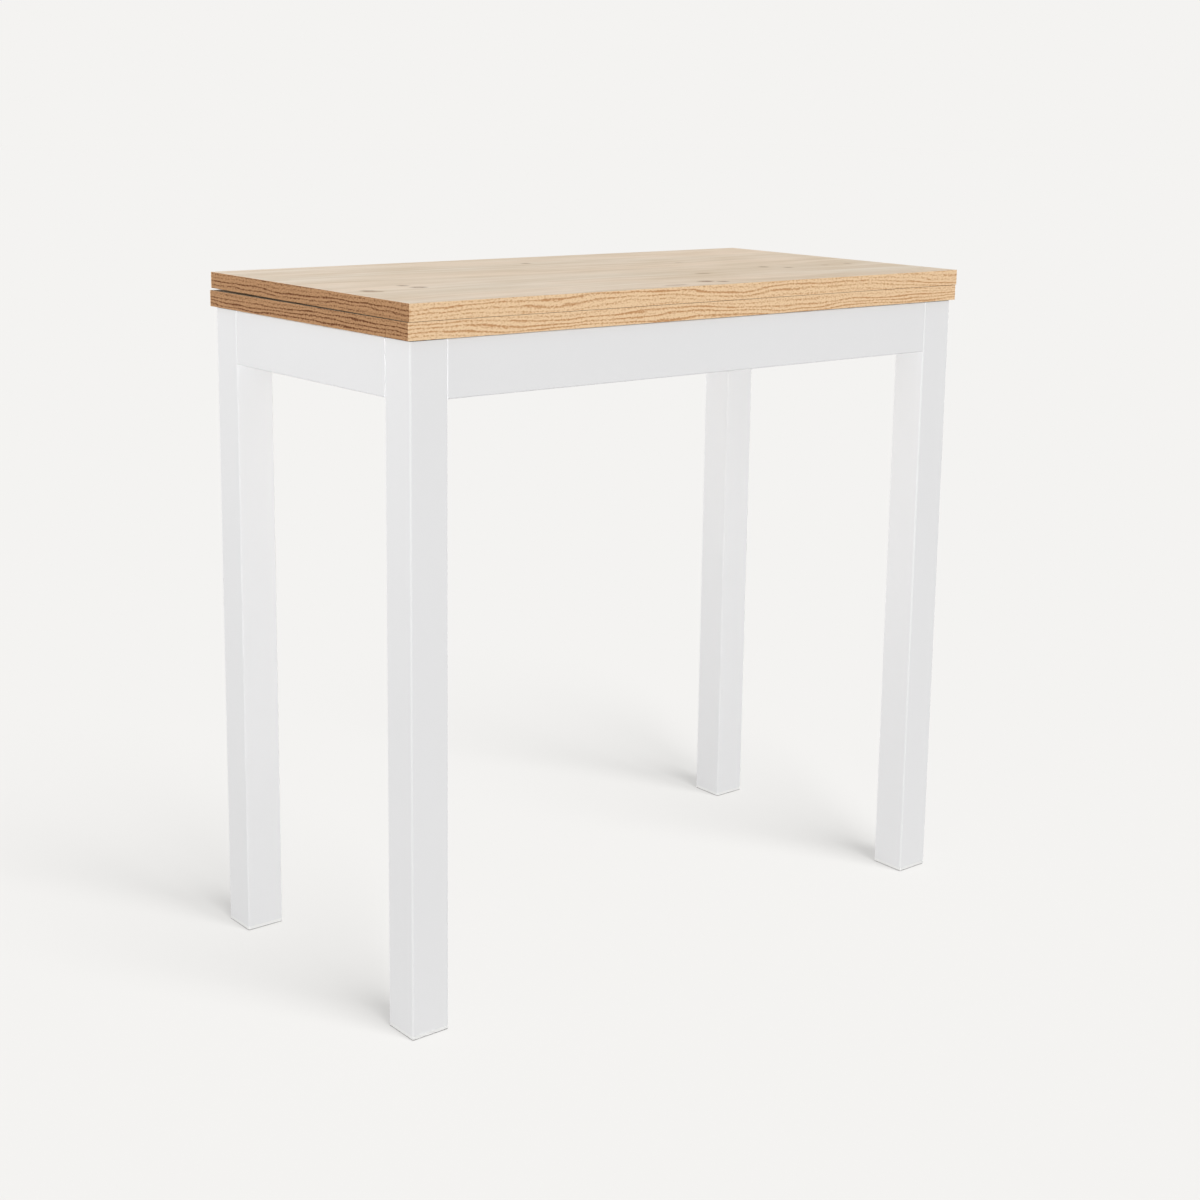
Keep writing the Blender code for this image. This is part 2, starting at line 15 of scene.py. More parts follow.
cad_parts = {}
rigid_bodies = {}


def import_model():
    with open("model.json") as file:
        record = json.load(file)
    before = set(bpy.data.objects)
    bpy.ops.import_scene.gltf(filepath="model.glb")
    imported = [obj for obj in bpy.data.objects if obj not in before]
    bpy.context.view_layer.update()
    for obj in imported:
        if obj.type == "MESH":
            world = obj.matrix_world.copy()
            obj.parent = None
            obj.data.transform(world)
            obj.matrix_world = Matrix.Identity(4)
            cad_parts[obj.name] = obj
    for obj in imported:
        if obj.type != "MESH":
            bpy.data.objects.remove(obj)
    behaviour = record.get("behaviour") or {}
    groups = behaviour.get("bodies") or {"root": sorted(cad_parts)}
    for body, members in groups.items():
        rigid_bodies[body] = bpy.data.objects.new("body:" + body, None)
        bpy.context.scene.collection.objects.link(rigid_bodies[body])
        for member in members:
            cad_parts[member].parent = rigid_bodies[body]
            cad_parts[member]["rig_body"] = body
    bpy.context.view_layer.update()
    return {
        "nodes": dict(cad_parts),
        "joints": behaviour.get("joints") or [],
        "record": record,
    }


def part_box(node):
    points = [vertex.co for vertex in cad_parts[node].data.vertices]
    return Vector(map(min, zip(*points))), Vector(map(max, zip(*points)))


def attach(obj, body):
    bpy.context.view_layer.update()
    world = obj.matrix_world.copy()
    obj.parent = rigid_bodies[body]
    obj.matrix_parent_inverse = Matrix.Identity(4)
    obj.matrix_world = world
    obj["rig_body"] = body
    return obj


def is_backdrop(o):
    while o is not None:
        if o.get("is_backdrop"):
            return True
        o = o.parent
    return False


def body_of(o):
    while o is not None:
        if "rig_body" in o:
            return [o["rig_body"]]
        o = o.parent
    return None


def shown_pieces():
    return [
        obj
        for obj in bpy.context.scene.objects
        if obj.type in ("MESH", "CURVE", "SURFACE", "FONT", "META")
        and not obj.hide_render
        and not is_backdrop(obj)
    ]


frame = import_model()
NODES = frame["nodes"]

# The photograph: the side of the square picture and its lens in pixels, the row that the lens axis
# meets, the camera's place, its turn, tilt and lean in degrees, its sensor in millimetres, and how near
# it sees
PICTURE = 1200
FOCAL_PIXELS = 1920.8
AXIS_ROW = 468
CAMERA_PLACE = (-1.4275, -1.7451, 0.9520)
CAMERA_YAW = 39.377
CAMERA_PITCH = 10.502
CAMERA_ROLL = -0.784
SENSOR = 36.0
NEAREST = 0.05

# Background and floor as the camera sees them, the share of the floor's brightness that shadows can
# take away, how pale the floor is to all other light, and its side
PALE = (0.905, 0.896, 0.880)
FLOOR_SHADOWS = 0.37
FLOOR_BOUNCE = 0.12
FLOOR_SIZE = 80.0

# Suns on the leaves, the frame and the floor, named by the side they shine from: compass direction
# (0 is the front and 90 the right), height and softness in degrees, and the brightness of a white
# surface square to them. The last number is the brightness of the even light from all round.
LEAF_SUNS = {
    "front": (2, 30, 20, 0.575),
    "left": (-90, 3, 6, 0.50),
    "right": (90, 20, 60, 0.38),
    "back": (180, 25, 60, 0.38),
}
FRAME_SUNS = {
    "front": (2, 12, 12, 0.512),
    "left": (-90, 14, 60, 0.45),
    "right": (90, 20, 60, 0.38),
    "back": (180, 25, 60, 0.38),
}
FLOOR_SUN = (2, 55, 34, 3.6)
AMBIENT = 0.36

# A lamp high on the left of the frame, with the place it points to, and a lamp between the legs: metres
# and watts
LEFT_LAMP = (-1.6, 0.0, 1.8)
LEFT_LAMP_AIM = (-0.4, 0.0, 0.5)
LEFT_LAMP_WIDTH = 0.8
LEFT_LAMP_POWER = 7.5
INNER_LAMP = (-0.04, -0.04, 0.66)
INNER_LAMP_RADIUS = 0.08
INNER_LAMP_POWER = 1.5

# Colours, as reflectances
WHITE_COAT = (0.800, 0.800, 0.806)
OAK_WARM = (0.750, 0.614, 0.484)
OAK_GREY = (0.702, 0.615, 0.508)
OAK_STREAK = (0.584, 0.460, 0.322)
OAK_KNOT = (0.205, 0.105, 0.058)
BAND_LONG = (0.900, 0.650, 0.405)
BAND_LONG_LINE = (0.575, 0.305, 0.140)
# The short bands are darker and redder than the long ones: painted shade on the ends of the top
BAND_SHORT_SHADED = (0.525, 0.294, 0.147)
BAND_SHORT_LINE_SHADED = (0.155, 0.058, 0.024)
ZINC = (0.620, 0.620, 0.600)
BLACK = (0.020, 0.020, 0.021)
WHITE_PLASTIC = (0.880, 0.880, 0.870)
NYLON = (0.780, 0.775, 0.740)
# Painted contact shade where the feet meet the floor
CONTACT_SHADE = (0.200, 0.195, 0.185)

# Painted contact shade on the feet: how high it reaches from the floor, and over what height it fades
CONTACT_SHADE_HEIGHT = 0.0017
CONTACT_SHADE_FADE = 0.0004

# Noise lies between 0 and 1 and swings about its middle, and most of it lies in this range
NOISE_MIDDLE = 0.5
NOISE_RANGE = (0.3, 0.7)

# The plain finishes: cycles per metre and detail of the clouds in them, the share of the colour that
# clouds leave, roughness in the clouds and between them, and their fine relief, in cycles per metre and
# then by its depth and strength
COAT_CLOUDS = ((5.0, 5.0, 5.0), 3.0)
COAT_CLOUD_RANGE = (0.35, 0.65)
COAT_CLOUDED = 0.985
COAT_ROUGHNESS = (0.46, 0.38)
COAT_PEEL = (700.0, 700.0, 700.0)
COAT_RELIEF = (0.00004, 0.5)
ZINC_CLOUDS = ((90.0, 90.0, 90.0), 4.0)
ZINC_CLOUDED = 0.82
ZINC_ROUGHNESS = (0.28, 0.42)
ZINC_LINES = (90.0, 90.0, 1800.0)
ZINC_RELIEF = (0.00003, 0.3)
PLASTIC_CLOUDS = ((40.0, 40.0, 40.0), 2.0)
PLASTIC_CLOUDED = 0.94
BLACK_ROUGHNESS = (0.39, 0.51)
WHITE_PLASTIC_ROUGHNESS = (0.36, 0.48)
NYLON_ROUGHNESS = (0.34, 0.46)
PLASTIC_GRAIN = (1600.0, 1600.0, 1600.0)
PLASTIC_RELIEF = (0.00003, 0.5)

# The wood: its sheen, roughness where its fibres are low and where they are high, and the depth and
# strength of its relief
WOOD_SHEEN = 0.05
OAK_ROUGHNESS = (0.50, 0.58)
OAK_RELIEF = (0.00008, 0.35)
BAND_ROUGHNESS = (0.50, 0.62)
BAND_RELIEF = (0.0001, 0.4)

# Outer rim, crown and underside of the rounded edge bands, by leaf. The pale colours are partly the
# top's own colour and partly a painted highlight, and the darker ones are painted shade, so that the
# shut leaves meet in a dark line
LONG_EDGE_LIGHT_AND_SHADE = {
    "upper": ((0.700, 0.560, 0.410), (0.700, 0.560, 0.410), (0.420, 0.215, 0.095)),
    "lower": ((0.600, 0.350, 0.175), (0.600, 0.350, 0.175), BAND_LONG),
}
SHORT_EDGE_LIGHT_AND_SHADE = {
    "upper": ((0.850, 0.730, 0.570), (0.850, 0.730, 0.570), (0.020, 0.013, 0.008)),
    "lower": ((0.850, 0.730, 0.570), (0.030, 0.020, 0.012), BAND_SHORT_SHADED),
}

# Where the bands pass into those colours, by how far their surface faces up
RIM_SLOPE = (0.25, 0.40)
CROWN_SLOPE = (0.60, 0.75)
UNDERSIDE_SLOPE = (-0.40, -0.25)

# Knots on the upper face of each leaf, from its middle: along and across, half length and half width,
# and darkness
UPPER_KNOTS = (
    (-0.371, -0.080, 0.0090, 0.0120, 0.75),
    (-0.363, -0.088, 0.0045, 0.0045, 0.70),
    (-0.307, -0.046, 0.0080, 0.0070, 0.65),
    (-0.303, -0.070, 0.0110, 0.0085, 0.75),
    (-0.016, 0.123, 0.0070, 0.0060, 0.60),
    (0.014, -0.168, 0.0110, 0.0085, 0.85),
    (0.030, -0.179, 0.0085, 0.0065, 0.80),
    (-0.046, -0.186, 0.0200, 0.0065, 0.45),
    (0.081, -0.090, 0.0120, 0.0065, 0.55),
    (0.161, 0.043, 0.0060, 0.0050, 0.35),
    (0.211, -0.056, 0.0075, 0.0070, 0.75),
    (0.232, -0.078, 0.0075, 0.0060, 0.55),
    (0.302, -0.072, 0.0080, 0.0050, 0.30),
    (0.344, -0.070, 0.0065, 0.0055, 0.40),
)
LOWER_KNOTS = (
    (-0.240, 0.110, 0.0080, 0.0070, 0.60),
    (-0.205, 0.090, 0.0050, 0.0045, 0.40),
    (0.120, -0.120, 0.0085, 0.0060, 0.55),
    (0.290, 0.060, 0.0070, 0.0055, 0.50),
)

# How far a knot's core reaches, as the square of a distance in half sizes, the share of its half width
# that the grain bends aside, how dark the wood around it is, how much of the core its speckles leave,
# and the most of the wood that it hides
KNOT_REACH = 1.4
KNOT_BEND = 0.8
KNOT_SHADE = 0.8
KNOT_SPECKLES = (0.45, 1.15)
KNOT_MOST = 0.9

# Grain of the leaves: how far it leans and wanders. Noise in it has cycles per metre along the grain,
# across it and through the board, then detail and roughness.
LEAN = 2.5
WANDER = 0.05
WANDER_CYCLES = (3.0, 9.0, 1.0)
OAK_NOISE = {
    "clouds": ((1.6, 16.0, 1.0), 3.0, 0.5),
    "patches": ((2.5, 12.0, 7.0), 2.0, 0.5),
    "flecks": ((9.0, 36.0, 1.0), 2.0, 0.5),
    "streaks": ((2.6, 75.0, 1.0), 5.0, 0.62),
    "fibres": ((14.0, 620.0, 1.0), 3.0, 0.6),
    "pores": ((60.0, 1500.0, 1.0), 1.0, 0.5),
    "speckles": ((160.0, 500.0, 1.0), 3.0, 0.5),
}

# The tone of the wood goes from 0 where it is pale to 1 in a streak: a range of each noise, and what it
# adds at the ends of that range
OAK_TONES = {
    "streaks": (0.30, 0.72, -0.05, 0.85),
    "clouds": (0.30, 0.70, -0.12, 0.12),
    "flecks": (0.30, 0.70, -0.25, 0.25),
    "fibres": (0.25, 0.80, -0.22, 0.22),
}

# Ranges of the noise over which patches turn greyer and pores open, the tone that a pore adds, and how
# deep it is beside the fibres
GREYER = (0.35, 0.65)
PORES = (0.64, 0.72)
PORE_TONE = 0.35
PORE_DEPTH = 0.8

# Growth lines of the edge bands: their spacing, how far they wander on the long and the short bands and
# how far they ripple, where they darken and end on the way up from line to line, how strong they are,
# and how they fade along the band
LINE_SPACING = 0.0038
LONG_DRIFT = 0.0150
SHORT_DRIFT = 0.0070
RIPPLE = 0.0020
LINE_RISE = (0.35, 0.75)
LINE_FALL = (0.82, 1.0)
LINE_STRENGTHS = (0.45, 1.15)
LINE_FADING = (0.30, 0.65, 0.50, 1.00)

# Noise in the edge bands: cycles per metre along the band and up it, then detail and roughness. The
# fading goes by the number of the line, not by height. A step sets opposite bands apart in the noise,
# and fibres and sand add to the tone as in the leaves.
BAND_NOISE = {
    "drift": ((4.0, 20.0, 1.0), 1.0, 0.5),
    "ripple": ((26.0, 150.0, 1.0), 2.0, 0.5),
    "fading": ((16.0, 5.3, 1.0), 2.0, 0.5),
    "fibres": ((110.0, 1700.0, 1.0), 3.0, 0.65),
    "sand": ((330.0, 520.0, 1.0), 2.0, 0.5),
}
BAND_STEP = 3.0
BAND_FIBRES = (0.25, 0.75, -0.25, 0.25)
BAND_SAND = (0.35, 0.65, -0.40, 0.40)

# Eased edges of the solids, by the start of their names, the steps in an eased edge, and the angles
# between faces below which edges are shaded smooth and above which they are eased
EASED = {
    "foot": 0.0006,
    "upper_b": 0.0005,
    "lower_b": 0.0005,
    "corner": 0.0003,
    "hinge": 0.00015,
}
EASE_STEPS = 2
SMOOTH_BELOW = math.radians(40)
EASE_ABOVE = math.radians(50)

# Heads of the screws. A pan head's dome stands on a share of its height, and has points at these angles
# from its top, in radians.
HEAD_SIDES = 32
FLAT_HEAD_RADIUS = 0.0030
SUNK = 0.0001
PAN_HEAD_RADIUS = 0.0036
PAN_HEAD_HEIGHT = 0.0022
DOME_BASE = 0.35
DOME_ANGLES = (0, 0.35, 0.7, 1.05, 1.4)

# Shanks and cross recesses: a recess narrows to a share of its width, and its cutter stands out above
# the head. Each screw is turned further than the one before, in radians.
SHANK_RADIUS = 0.0015
SHANK_LENGTH = 0.010
RECESS_REACH = 0.0018
RECESS_WIDTH = 0.0009
RECESS_DEPTH = 0.0012
RECESS_NARROW = 0.6
CUTTER_RISE = RECESS_DEPTH / 4
SCREW_TURN = 1.9

# Plates that the screws hold, with the rows of a bracket's screws as shares of its height
HINGE_SCREW_SPACING = 0.040
BRACKET_FLANGE = 0.018
BRACKET_PLATE = 0.002
BRACKET_ROWS = (0.28, 0.72)

# Corners of the table, by the signs of their X and Y
CORNERS = {
    "front_left": (-1, -1),
    "front_right": (1, -1),
    "back_left": (-1, 1),
    "back_right": (1, 1),
}

# The sockets of a Mix node that carry colours
MIX_FIRST = 6
MIX_SECOND = 7
MIX_RESULT = 2


class Graph:
    """A shader under construction. Most methods add one node and return its output."""

    def __init__(self, tree):
        self.tree = tree

    def add(self, kind, inputs=(), output=0, **settings):
        """Adds any node, with its settings and with values or links for its inputs."""
        node = self.tree.nodes.new(kind)
        for name, value in settings.items():
            setattr(node, name, value)
        for key, value in dict(inputs).items():
            self.feed(node.inputs[key], value)
        return node.outputs[output]

    def feed(self, socket, value):
        if isinstance(value, bpy.types.NodeSocket):
            self.tree.links.new(value, socket)
        else:
            socket.default_value = value

    def surface(self, **inputs):
        """Feeds the material's Principled shader."""
        shader = self.tree.nodes["Principled BSDF"]
        for name, value in inputs.items():
            self.feed(shader.inputs[name.replace("_", " ")], value)

    def place(self):
        """Coordinates that stay on the piece when it moves, in metres."""
        return self.add("ShaderNodeTexCoord", output="Object")

    def parts(self, vector):
        return self.add("ShaderNodeSeparateXYZ", {0: vector}).node.outputs

    def join(self, x, y, z):
        return self.add("ShaderNodeCombineXYZ", {0: x, 1: y, 2: z})

    def math(self, operation, a, b=0.0, c=0.0):
        return self.add("ShaderNodeMath", {0: a, 1: b, 2: c}, operation=operation)

    def noise(self, vector, cycles, detail=2.0, roughness=0.5):
        """Noise from 0 to 1, with so many cycles per metre along each axis."""
        scaled = self.add("ShaderNodeVectorMath", {0: vector, 1: cycles}, operation="MULTIPLY")
        inputs = {"Vector": scaled, "Scale": 1.0, "Detail": detail, "Roughness": roughness}
        return self.add("ShaderNodeTexNoise", inputs)

    def span(self, value, low, high, new_low=0.0, new_high=1.0, smooth=False):
        """Maps low..high to new_low..new_high, and holds it there beyond."""
        inputs = {0: value, 1: low, 2: high, 3: new_low, 4: new_high}
        kind = "SMOOTHSTEP" if smooth else "LINEAR"
        return self.add("ShaderNodeMapRange", inputs, interpolation_type=kind)

    def mix(self, share, first, second):
        """A colour from first to second, by a share that is held from 0 to 1."""
        node = self.add("ShaderNodeMix", data_type="RGBA").node
        self.feed(node.inputs[0], share)
        for number, colour in ((MIX_FIRST, first), (MIX_SECOND, second)):
            plain = not isinstance(colour, bpy.types.NodeSocket)
            self.feed(node.inputs[number], (*colour, 1.0) if plain else colour)
        return node.outputs[MIX_RESULT]

    def bump(self, height, depth, strength):
        inputs = {"Height": height, "Distance": depth, "Strength": strength}
        return self.add("ShaderNodeBump", inputs)

    def seen_directly(self):
        """1 for rays from the camera, also by way of a mirror or glass, and 0 for other light."""
        path = self.add("ShaderNodeLightPath").node.outputs
        mirrored = self.math("MAXIMUM", path["Is Glossy Ray"], path["Is Transmission Ray"])
        return self.math("MAXIMUM", path["Is Camera Ray"], mirrored)


def new_material(name):
    material = bpy.data.materials.new(name)
    material.use_nodes = True
    return material, Graph(material.node_tree)


def darker(colour, share):
    """The given share of a colour."""
    return tuple(share * c for c in colour)


def powder_coat(name):
    """White powder coat: an even satin white over a very fine orange peel."""
    material, g = new_material(name)
    place = g.place()
    clouds = g.noise(place, *COAT_CLOUDS)
    clear = g.span(clouds, *COAT_CLOUD_RANGE)
    g.surface(Base_Color=g.mix(clear, darker(WHITE_COAT, COAT_CLOUDED), WHITE_COAT))
    g.surface(Roughness=g.span(clouds, *NOISE_RANGE, *COAT_ROUGHNESS))
    g.surface(Normal=g.bump(g.noise(place, COAT_PEEL), *COAT_RELIEF))
    return material


def knots_in(g, along, across, knots):
    """The dark cores of the knots, the shade around them, and how far the grain bends aside there."""
    core, shade, bend = 0.0, 0.0, 0.0
    for x, y, half_length, half_width, darkness in knots:
        dx = g.math("DIVIDE", g.math("SUBTRACT", along, x), half_length)
        dy = g.math("DIVIDE", g.math("SUBTRACT", across, y), half_width)
        square = g.math("ADD", g.math("MULTIPLY", dx, dx), g.math("MULTIPLY", dy, dy))
        halo = g.math("DIVIDE", 1.0, g.math("ADD", square, 1.0))
        heart = g.span(square, 0.0, KNOT_REACH, darkness, 0.0, smooth=True)
        core = g.math("ADD", core, heart)
        shade = g.math("MULTIPLY_ADD", g.math("MULTIPLY", halo, halo), darkness, shade)
        bend = g.math("MULTIPLY_ADD", g.math("MULTIPLY", dy, halo), -KNOT_BEND * half_width, bend)
    return core, shade, bend


def oak_face(name, board, knots):
    """Pale oak with grain along X: warm and grey patches, streaks, flecks, fine pores and some knots."""
    material, g = new_material(name)
    low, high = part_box(board)
    x, y, z = g.parts(g.place())
    depth = g.math("SUBTRACT", z, high.z)
    along = g.math("MULTIPLY_ADD", depth, LEAN, g.math("SUBTRACT", x, (low.x + high.x) / 2))
    across = g.math("MULTIPLY_ADD", depth, LEAN, g.math("SUBTRACT", y, (low.y + high.y) / 2))
    core, shade, bend = knots_in(g, along, across, knots)
    wander = g.math("MULTIPLY", g.noise(g.join(along, across, z), WANDER_CYCLES), WANDER)
    grain = g.join(along, g.math("ADD", g.math("ADD", across, bend), wander), z)
    noise = {kind: g.noise(grain, *settings) for kind, settings in OAK_NOISE.items()}
    tone = 0.0
    for kind, change in OAK_TONES.items():
        tone = g.math("ADD", tone, g.span(noise[kind], *change))
    pores = g.span(noise["pores"], *PORES)
    tone = g.math("MULTIPLY_ADD", pores, PORE_TONE, tone)
    tone = g.math("MULTIPLY_ADD", shade, KNOT_SHADE, tone)
    pale = g.mix(g.span(noise["patches"], *GREYER), OAK_WARM, OAK_GREY)
    colour = g.mix(tone, pale, OAK_STREAK)
    knot = g.math("MULTIPLY", core, g.span(noise["speckles"], *NOISE_RANGE, *KNOT_SPECKLES))
    g.surface(Base_Color=g.mix(g.math("MINIMUM", knot, KNOT_MOST), colour, OAK_KNOT))
    g.surface(Roughness=g.span(noise["fibres"], *NOISE_RANGE, *OAK_ROUGHNESS))
    g.surface(Specular_IOR_Level=WOOD_SHEEN)
    relief = g.math("MULTIPLY_ADD", pores, -PORE_DEPTH, noise["fibres"])
    g.surface(Normal=g.bump(relief, *OAK_RELIEF))
    return material


def oak_edge(name, along_x, ground, line, edges):
    """An edge band: wavy growth lines along the edge, each softer below than above, on sandy wood."""
    material, g = new_material(name)
    x, y, z = g.parts(g.place())
    along, through = (x, y) if along_x else (y, x)
    side = g.math("MULTIPLY", g.math("SIGN", through), BAND_STEP)
    spot = g.join(along, z, side)
    height = z
    for kind, reach in (("drift", LONG_DRIFT if along_x else SHORT_DRIFT), ("ripple", RIPPLE)):
        swing = g.math("SUBTRACT", g.noise(spot, *BAND_NOISE[kind]), NOISE_MIDDLE)
        height = g.math("MULTIPLY_ADD", swing, 2 * reach, height)
    count = g.math("DIVIDE", height, LINE_SPACING)
    number = g.math("FLOOR", count)
    share = g.math("FRACT", count)
    rise = g.span(share, *LINE_RISE, smooth=True)
    fall = g.span(share, *LINE_FALL, 1.0, 0.0, smooth=True)
    seed = {"W": g.math("ADD", number, side)}
    strength = g.add("ShaderNodeTexWhiteNoise", seed, noise_dimensions="1D")
    fading = g.noise(g.join(along, number, side), *BAND_NOISE["fading"])
    lines = g.math("MULTIPLY", rise, fall)
    lines = g.math("MULTIPLY", lines, g.span(strength, 0.0, 1.0, *LINE_STRENGTHS))
    lines = g.math("MULTIPLY", lines, g.span(fading, *LINE_FADING))
    fibres = g.noise(g.join(along, height, side), *BAND_NOISE["fibres"])
    sand = g.noise(spot, *BAND_NOISE["sand"])
    tone = g.math("ADD", lines, g.span(fibres, *BAND_FIBRES))
    tone = g.math("ADD", tone, g.span(sand, *BAND_SAND))
    colour = g.mix(tone, ground, line)
    # Painted highlight on the pale rims and crowns, painted shade on the darker rims, crowns and
    # undersides
    facing = g.parts(g.add("ShaderNodeTexCoord", output="Normal"))["Z"]
    rim, crown, underside = edges
    colour = g.mix(g.span(facing, *RIM_SLOPE), colour, rim)
    colour = g.mix(g.span(facing, *CROWN_SLOPE), colour, crown)
    g.surface(Base_Color=g.mix(g.span(facing, *UNDERSIDE_SLOPE, 1.0, 0.0), colour, underside))
    g.surface(Roughness=g.span(fibres, *NOISE_RANGE, *BAND_ROUGHNESS))
    g.surface(Specular_IOR_Level=WOOD_SHEEN)
    g.surface(Normal=g.bump(g.math("SUBTRACT", fibres, lines), *BAND_RELIEF))
    return material


def zinc_plate(name):
    """Bright zinc on steel: slightly cloudy, with fine rolling lines."""
    material, g = new_material(name)
    place = g.place()
    clouds = g.noise(place, *ZINC_CLOUDS)
    g.surface(Base_Color=g.mix(clouds, darker(ZINC, ZINC_CLOUDED), ZINC), Metallic=1.0)
    g.surface(Roughness=g.span(clouds, *NOISE_RANGE, *ZINC_ROUGHNESS))
    g.surface(Normal=g.bump(g.noise(place, ZINC_LINES), *ZINC_RELIEF))
    return material


def moulded(name, colour, roughness, shaded_at_floor=False):
    """Moulded plastic with a faint spark-eroded texture, dark at the floor as painted contact shade."""
    material, g = new_material(name)
    place = g.place()
    clouds = g.noise(place, *PLASTIC_CLOUDS)
    tint = g.mix(clouds, darker(colour, PLASTIC_CLOUDED), colour)
    if shaded_at_floor:
        # Painted contact shade, darkest at the floor
        above_shade = g.span(g.parts(place)["Z"], CONTACT_SHADE_HEIGHT - CONTACT_SHADE_FADE, CONTACT_SHADE_HEIGHT)
        tint = g.mix(above_shade, CONTACT_SHADE, tint)
    g.surface(Base_Color=tint)
    g.surface(Roughness=g.span(clouds, *NOISE_RANGE, *roughness))
    g.surface(Normal=g.bump(g.noise(place, PLASTIC_GRAIN), *PLASTIC_RELIEF))
    return material


def dress_nodes():
    """Gives each node the finish of its slot. Boards differ by leaf, and bands by side."""
    by_slot = {
        "powder_white": powder_coat("powder_white"),
        "zinc_steel": zinc_plate("zinc_steel"),
        "black_plastic": moulded("black_plastic", BLACK, BLACK_ROUGHNESS),
        "white_plastic": moulded("white_plastic", WHITE_PLASTIC, WHITE_PLASTIC_ROUGHNESS, shaded_at_floor=True),
        "white_nylon": moulded("white_nylon", NYLON, NYLON_ROUGHNESS),
    }
    by_node = {}
    for leaf, knots in (("upper", UPPER_KNOTS), ("lower", LOWER_KNOTS)):
        board = f"{leaf}_board"
        by_node[board] = oak_face(f"oak_face_{leaf}", board, knots)
        long_colours = (BAND_LONG, BAND_LONG_LINE, LONG_EDGE_LIGHT_AND_SHADE[leaf])
        long_band = oak_edge(f"oak_edge_long_{leaf}", True, *long_colours)
        # The short bands are a darker copy of the long ones: painted shade
        short_colours = (BAND_SHORT_SHADED, BAND_SHORT_LINE_SHADED, SHORT_EDGE_LIGHT_AND_SHADE[leaf])
        short_band = oak_edge(f"oak_edge_short_{leaf}", False, *short_colours)
        by_node.update({f"{leaf}_band_{side}": long_band for side in ("front", "back")})
        by_node.update({f"{leaf}_band_{side}": short_band for side in ("left", "right")})
    for subpart in frame["record"]["subparts"]:
        name = subpart["node"]
        finishes = NODES[name].data.materials
        finishes.clear()
        finishes.append(by_node.get(name) or by_slot[subpart["material_slot"]])
    return by_slot


def shade_by_angle():
    """The nodes of a modifier that smooths all edges but the sharp ones."""
    group = bpy.data.node_groups.new("shade_by_angle", "GeometryNodeTree")
    for way in ("INPUT", "OUTPUT"):
        group.interface.new_socket("Geometry", in_out=way, socket_type="NodeSocketGeometry")
    start, end = group.nodes.new("NodeGroupInput"), group.nodes.new("NodeGroupOutput")
    faces, edges = (group.nodes.new("GeometryNodeSetShadeSmooth") for _ in range(2))
    edges.domain = "EDGE"
    angle = group.nodes.new("GeometryNodeInputMeshEdgeAngle")
    below = group.nodes.new("FunctionNodeCompare")
    below.operation = "LESS_THAN"
    below.inputs[1].default_value = SMOOTH_BELOW
    links = (
        (angle.outputs[0], below.inputs[0]),
        (below.outputs[0], edges.inputs["Shade Smooth"]),
        (start.outputs[0], faces.inputs[0]),
        (faces.outputs[0], edges.inputs[0]),
        (edges.outputs[0], end.inputs[0]),
    )
    for output, socket in links:
        group.links.new(output, socket)
    return group


def ease_edges(smooth):
    """Rounds the sharp edges of the solids by a few tenths of a millimetre, and shades their curves."""
    for name, node in NODES.items():
        width = next((w for start, w in EASED.items() if name.startswith(start)), None)
        if width:
            bevel = node.modifiers.new("eased", "BEVEL")
            bevel.width = width
            bevel.segments = EASE_STEPS
            bevel.limit_method = "ANGLE"
            bevel.angle_limit = EASE_ABOVE
        node.modifiers.new("shading", "NODES").node_group = smooth
        flat = node.modifiers.new("flat_faces", "WEIGHTED_NORMAL")
        flat.keep_sharp = True


def turned(name, profile):
    """A closed solid turned about Z from a profile of (radius, height), top to bottom."""
    bm = bmesh.new()
    turns = [2 * math.pi * i / HEAD_SIDES for i in range(HEAD_SIDES)]
    rings = []
    for radius, height in profile:
        spots = [(radius * math.cos(a), radius * math.sin(a), height) for a in turns]
        rings.append([bm.verts.new(spot) for spot in (spots if radius else spots[:1])])
    for upper, lower in zip(rings, rings[1:]):
        for i in range(HEAD_SIDES):
            j = (i + 1) % HEAD_SIDES
            corners = [(upper, i), (lower, i), (lower, j), (upper, j)]
            bm.faces.new(dict.fromkeys(ring[k % len(ring)] for ring, k in corners))
    bmesh.ops.recalc_face_normals(bm, faces=bm.faces)
    mesh = bpy.data.meshes.new(name)
    bm.to_mesh(mesh)
    bm.free()
    return mesh


def cross_recess(top):
    """The cutter of a cross recess that narrows downwards from the given height."""
    bm = bmesh.new()
    for turn in (0, math.pi / 2):
        bar = bmesh.ops.create_cube(bm, size=1)["verts"]
        for vert in bar:
            narrow = RECESS_NARROW if vert.co.z < 0 else 1.0
            vert.co.x *= 2 * RECESS_REACH * narrow
            vert.co.y *= RECESS_WIDTH * narrow
            vert.co.z = top - RECESS_DEPTH if vert.co.z < 0 else top + CUTTER_RISE
        bmesh.ops.rotate(bm, cent=(0, 0, 0), matrix=Matrix.Rotation(turn, 3, "Z"), verts=bar)
    mesh = bpy.data.meshes.new("cross_recess")
    bm.to_mesh(mesh)
    bm.free()
    return mesh


def screw(name, profile, smooth):
    """A screw with its recess cut, head up, with the plate's face at the origin."""
    blank = bpy.data.objects.new(name, turned(name, profile))
    tool = bpy.data.objects.new("cross_recess", cross_recess(profile[0][1]))
    for obj in (blank, tool):
        bpy.context.scene.collection.objects.link(obj)
    cut = blank.modifiers.new("recess", "BOOLEAN")
    cut.operation = "DIFFERENCE"
    cut.object = tool
    cut.use_self = True
    blank.modifiers.new("shading", "NODES").node_group = smooth
    finished = blank.evaluated_get(bpy.context.evaluated_depsgraph_get())
    mesh = bpy.data.meshes.new_from_object(finished)
    for obj in (blank, tool):
        bpy.data.objects.remove(obj)
    return mesh


